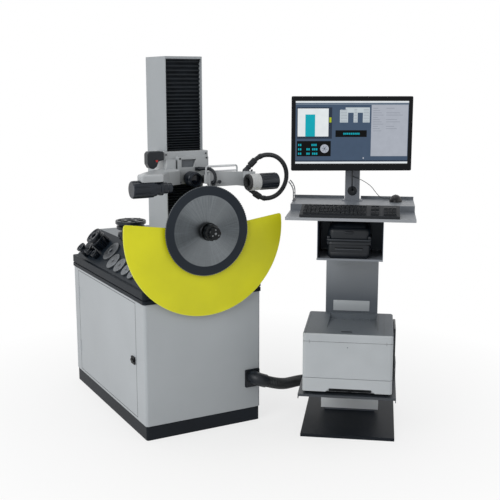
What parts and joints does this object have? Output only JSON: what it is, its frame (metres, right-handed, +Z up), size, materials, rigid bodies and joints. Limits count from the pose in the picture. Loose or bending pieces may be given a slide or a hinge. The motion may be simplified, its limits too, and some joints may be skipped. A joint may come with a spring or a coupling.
{
  "type": "saw blade measuring machine",
  "caption": "Camera measuring machine for circular saw blades: cabinet, column with bellows and camera carriage, blade spindle with yellow guard, and a console with screen and printer.",
  "frame": {"origin": "on the floor, at the centre of the cabinet's footprint", "axes": "+X to the right along the cabinet's front, +Y to the machine's back, +Z up; the operator stands at -Y"},
  "size_m": [1.4591, 1.6102, 1.7255],
  "materials": {
    "light_paint": "satin light grey paint",
    "dark_paint": "satin near black paint",
    "board": "dark laminate board",
    "cover_paint": "dark grey blue paint",
    "casting_paint": "light grey painted aluminium casting",
    "cast_iron": "machined iron",
    "bright_steel": "ground steel",
    "chrome": "bright plated",
    "black_plastic": "moulded black",
    "black_metal": "black anodised",
    "bellows_cloth": "black coated cloth",
    "guard_paint": "yellow satin",
    "console_paint": "mid grey paint",
    "printer_shell": "light grey moulding",
    "printer_dark": "dark grey moulding",
    "gloss_black": "glossy black bezel",
    "screen_glass": "lit screen",
    "hose_rubber": "ribbed black hose",
    "pale_metal": "pale matt ring",
    "red_plastic": "red button"
  },
  "bodies": {
    "base": {"plinth": "dark_paint", "cabinet_shell": "light_paint", "door_hinges": "light_paint", "control_unit": "console_paint", "top_board": "board", "machine_bed": "cast_iron", "top_cover": "cover_paint", "stored_discs": "bright_steel", "stored_adapters": "black_metal", "disc_stack": "black_metal", "column_housing": "light_paint", "column_frame": "cast_iron", "guide_rails": "bright_steel", "z_motor": "black_metal", "bellows_upper": "bellows_cloth", "bellows_lower": "bellows_cloth", "spindle_housing": "cast_iron", "spindle_bearings": "bright_steel", "blade_guard": "guard_paint", "hose_flanges": "black_plastic", "conduit_hose": "hose_rubber", "console_base": "dark_paint", "console_column": "console_paint", "printer_shelf": "console_paint", "printer_body": "printer_shell", "printer_top": "printer_dark", "label_compartment": "console_paint", "label_printer": "black_plastic", "keyboard_tray": "console_paint", "keyboard": "black_plastic", "mouse": "black_plastic", "mouse_cord": "black_plastic", "mast": "console_paint", "cable_grommet": "black_plastic", "monitor_cable": "black_plastic", "wire_rack": "chrome"},
    "screw": {"ball_screw": "bright_steel"},
    "carriage": {"carriage_casting": "casting_paint", "guide_blocks": "bright_steel", "grip_handle": "black_plastic", "left_camera": "black_metal", "front_camera": "black_metal", "side_light": "black_metal", "gooseneck": "black_plastic", "camera_arm": "casting_paint", "ring_light": "pale_metal", "right_camera": "black_metal", "loop_hose": "hose_rubber", "loop_fittings": "black_plastic"},
    "button": {"release_button": "red_plastic"},
    "spindle": {"spindle_shaft": "bright_steel", "saw_blade": "bright_steel"},
    "flange": {"clamp_flange": "chrome"},
    "knob": {"clamp_knob": "black_plastic"},
    "door": {"side_door": "light_paint"},
    "latch": {"door_latch": "black_plastic"},
    "drawer": {"paper_drawer": "printer_shell"},
    "swivel": {"monitor_bracket": "black_metal"},
    "monitor": {"monitor_housing": "gloss_black", "monitor_screen": "screen_glass"}
  },
  "joints": [
    {"name": "z_slide", "type": "slide", "parent": "base", "child": "carriage", "axis": [0, 0, 1], "range_m": [-0.05, 0.26], "deforming": ["bellows_upper", "bellows_lower"]},
    {"name": "screw_spin", "type": "hinge", "parent": "base", "child": "screw", "pos_m": [0, -0.258, 1.2], "axis": [0, 0, 1], "range_deg": [-1000, 4800]},
    {"name": "button_press", "type": "slide", "parent": "carriage", "child": "button", "axis": [0, 1, 0], "range_m": [0, 0.003], "stiffness_N_per_m": 600, "springref_m": -0.0005},
    {"name": "spindle_spin", "type": "hinge", "parent": "base", "child": "spindle", "pos_m": [0, -0.545, 0.955], "axis": [0, 1, 0], "continuous": true},
    {"name": "flange_slide", "type": "slide", "parent": "spindle", "child": "flange", "axis": [0, -1, 0], "range_m": [0, 0.012]},
    {"name": "knob_turn", "type": "hinge", "parent": "flange", "child": "knob", "pos_m": [0, -0.57, 0.955], "axis": [0, -1, 0], "range_deg": [0, 2160]},
    {"name": "door_swing", "type": "hinge", "parent": "base", "child": "door", "pos_m": [-0.295, 0.427, 0.3525], "axis": [0, 0, -1], "range_deg": [0, 110]},
    {"name": "latch_turn", "type": "hinge", "parent": "door", "child": "latch", "pos_m": [-0.295, -0.364, 0.348], "axis": [1, 0, 0], "range_deg": [0, 90]},
    {"name": "drawer_slide", "type": "slide", "parent": "base", "child": "drawer", "axis": [-0.5993, -0.8005, 0], "range_m": [0, 0.2]},
    {"name": "monitor_swivel", "type": "hinge", "parent": "base", "child": "swivel", "pos_m": [0.73096, -0.59398, 1.3735], "axis": [0, 0, 1], "range_deg": [-40, 40]},
    {"name": "monitor_tilt", "type": "hinge", "parent": "swivel", "child": "monitor", "pos_m": [0.72275, -0.61, 1.3735], "axis": [-0.8898, 0.4563, 0], "range_deg": [-5, 20]}
  ],
  "couplings": [
    {"joint": "screw_spin", "follows": "z_slide", "rad_per_m": 314.16},
    {"joint": "knob_turn", "follows": "flange_slide", "rad_per_m": 3141.6}
  ]
}
